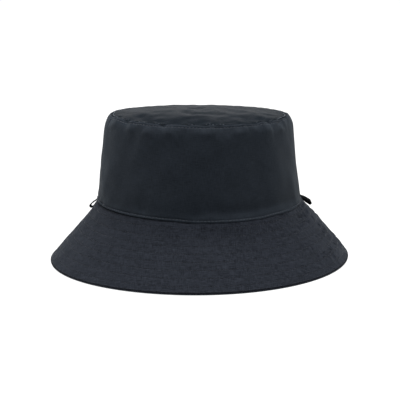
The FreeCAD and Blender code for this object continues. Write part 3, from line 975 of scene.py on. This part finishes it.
def ribbed(name, dark, light, pitch, across=True, roughness=0.7, sheen=0.2, specular=0.3):
    """A tape with ribs across or along it."""
    nodes = Nodes(name)
    uv = nodes.cloth()
    place = nodes.split(uv)[1 if across else 0]
    rib = nodes.sine(nodes.times(place, TURN / pitch))
    fleck = nodes.noise(uv, 1.4, 3.0, 0.6)
    # the ribs' tops are coloured lighter and the grooves between them darker: painted shade
    colour = nodes.ramp(nodes.plus(nodes.times(rib, 0.2), fleck), 0.2, dark, 0.85, light)
    normal = nodes.bump(rib, RIB_DEPTH, 0.9)
    normal = nodes.bump(fleck, FLECK_DEPTH, 0.6, normal)
    rough = nodes.plus(nodes.times(fleck, 0.2), roughness - 0.1)
    return nodes.finish(colour, rough, normal, sheen, specular=specular)


def twisted(name, dark, light):
    """Sewing thread with its twist."""
    nodes = Nodes(name)
    uv = nodes.cloth()
    run, turn = nodes.split(uv)
    ply = nodes.sine(nodes.plus(nodes.times(run, 9.0), turn))
    fleck = nodes.noise(uv, 2.0, 2.0)
    # the plies' crests are coloured lighter and the grooves between them darker: painted shade
    colour = nodes.ramp(nodes.plus(nodes.times(ply, 0.2), fleck), 0.1, dark, 0.9, light)
    normal = nodes.bump(ply, PLY_DEPTH, 0.8)
    rough = nodes.plus(nodes.times(fleck, 0.2), 0.45)
    return nodes.finish(colour, rough, normal, 0.05, sheen_rough=0.4, specular=0.25)


def felted(name, dark, light):
    """Non-woven stiffener: pressed fibres."""
    nodes = Nodes(name)
    uv = nodes.cloth()
    fibre = nodes.noise(nodes.scaled(uv, 0.5, 2.0), 1.0, 6.0, 0.7)
    pressed = nodes.noise(uv, 1.6, 2.0)
    colour = nodes.ramp(nodes.times(nodes.plus(fibre, pressed), 0.5), 0.25, dark, 0.75, light)
    normal = nodes.bump(fibre, FIBRE_DEPTH, 0.8)
    return nodes.finish(colour, 0.9, normal, 0.1, specular=0.2)


MATERIALS = {
    "crown_cloth": woven("crown cloth", (0.0063, 0.0090, 0.0128), (0.0144, 0.0191, 0.0260),
                         heather=0.8, sheen=0.04, specular=0.10),
    # the tip takes the crown's cloth painted darker: painted shade that tones down how brightly
    # the tip is lit
    "crown_tip": woven("crown cloth darkened with painted shade", (0.0024, 0.0038, 0.0055),
                       (0.0062, 0.0092, 0.0130), heather=0.8, roughness=0.74, specular=0.038,
                       sheen=0.018, sheen_rough=0.3, sheen_tint=(0.6, 0.8, 1.0)),
    "brim_cloth": woven("brim cloth", (0.0045, 0.0058, 0.0090), (0.0180, 0.0210, 0.0287),
                        heather=1.7, sheen=0.04, specular=0.08, blotch=0.15),
    "interlining": felted("interlining", (0.50, 0.49, 0.46), (0.66, 0.65, 0.62)),
    "lining_cloth": woven("lining cloth", (0.02, 0.022, 0.027), (0.036, 0.039, 0.046),
                          pitch=0.35, heather=0.6, roughness=0.6, sheen=0.15, specular=0.45),
    "sweatband_cloth": ribbed("sweatband tape", (0.016, 0.018, 0.022), (0.038, 0.040, 0.047),
                              1.3, across=False),
    "loop_tape": ribbed("loop tape", (0.001, 0.0012, 0.0016), (0.004, 0.0045, 0.006), 0.8,
                        roughness=0.9, sheen=0.0, specular=0.06),
    "thread": twisted("brim thread", (0.0055, 0.0068, 0.0098), (0.0135, 0.016, 0.022)),
    # the crown's thread is lighter than its cloth: partly the thread's own colour, partly a
    # painted highlight along the seams' turned edges
    "crown_thread_with_highlight": twisted("crown thread with painted highlight", (0.022, 0.026, 0.033), (0.036, 0.042, 0.052)),
    # the tip's thread is far lighter than its cloth: partly the thread's own colour, partly a
    # painted highlight along the tip's seam
    "tip_thread": twisted("tip thread with painted highlight", (0.09, 0.105, 0.125), (0.13, 0.15, 0.18)),
    "label_satin": woven("label satin", (0.66, 0.66, 0.64), (0.78, 0.78, 0.76), pitch=0.3,
                         heather=0.5, roughness=0.4, sheen=0.0, specular=0.5, fuzz=0.00004),
}
# Pieces whose material isn't the one that their slot is called after
SPECIAL = {"crown_tip": "crown_tip", "base_topstitch": "crown_thread_with_highlight",
           "tip_topstitch_upper": "tip_thread", "tip_topstitch_lower": "crown_thread_with_highlight"}
for node, obj in made.items():
    obj.data.materials.append(MATERIALS[SPECIAL.get(node, obj["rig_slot"])])

# Camera, in metres, with its sensor and lens in millimetres
SENSOR_WIDTH = 36.0
LENS = 97.19
EYE = Vector((0.00086, -1.0, 0.2425))
AIM = Vector((0.00086, 0.0, 0.0525))
ROLL = math.radians(-0.753)
camera = bpy.data.objects.new("camera", bpy.data.cameras.new("camera"))
bpy.context.scene.collection.objects.link(camera)
bpy.context.scene.camera = camera
camera.data.sensor_width = SENSOR_WIDTH
camera.data.lens = LENS
camera.data.clip_end = 1000.0
backwards = (EYE - AIM).normalized()
level = Vector((1, 0, 0))
upright = backwards.cross(level)
right = level * math.cos(ROLL) + upright * math.sin(ROLL)
up = upright * math.cos(ROLL) - level * math.sin(ROLL)
turn = Matrix((right, up, backwards)).transposed().to_4x4()
camera.matrix_world = Matrix.Translation(EYE) @ turn

# Floor and sky
FLOOR_SIZE = 400
FLOOR_GAP = 0.0001          # keeps the floor off the rim
SKY_STRENGTH = 0.185
bpy.ops.mesh.primitive_plane_add(size=FLOOR_SIZE, location=(0, 0, -FLOOR_GAP))
floor = bpy.context.object
floor.name = "floor"
paper = Nodes("floor paper")
paper.fill(paper.bsdf, {
    "Base Color": (0.12, 0.12, 0.12, 1), "Roughness": 0.9, "Specular IOR Level": 0.0,
    "Emission Color": (1, 1, 1, 1), "Emission Strength": 1.0})
floor.data.materials.append(paper.material)

world = bpy.data.worlds.new("studio")
bpy.context.scene.world = world
world.use_nodes = True
background = world.node_tree.nodes["Background"]
background.inputs["Color"].default_value = (0.95, 0.97, 1.0, 1)
background.inputs["Strength"].default_value = SKY_STRENGTH


def softbox(name, place, aim, size, power):
    """A rectangular light at a place, turned to what it is aimed at, in metres and watts."""
    light = bpy.data.lights.new(name, "AREA")
    light.shape = "RECTANGLE"
    light.size, light.size_y = size
    light.energy = power
    obj = bpy.data.objects.new(name, light)
    bpy.context.scene.collection.objects.link(obj)
    obj.location = place
    way = Vector(aim) - Vector(place)
    obj.rotation_euler = way.to_track_quat("-Z", "Y").to_euler()


softbox("top softbox", (0.0, -0.05, 1.4), (0, 0, 0.1), (1.0, 0.8), 39.5)
softbox("back softbox", (0.0, 1.6, 0.36), (0, 0, 0.12), (1.2, 0.25), 8)
softbox("left softbox", (-1.5, 0.0, 0.6), (0, 0, 0.08), (0.9, 1.0), 4.5)
softbox("right softbox", (1.3, -0.2, 0.95), (0, 0, 0.08), (0.9, 1.0), 2.9)
bpy.context.scene.view_settings.view_transform = "Standard"
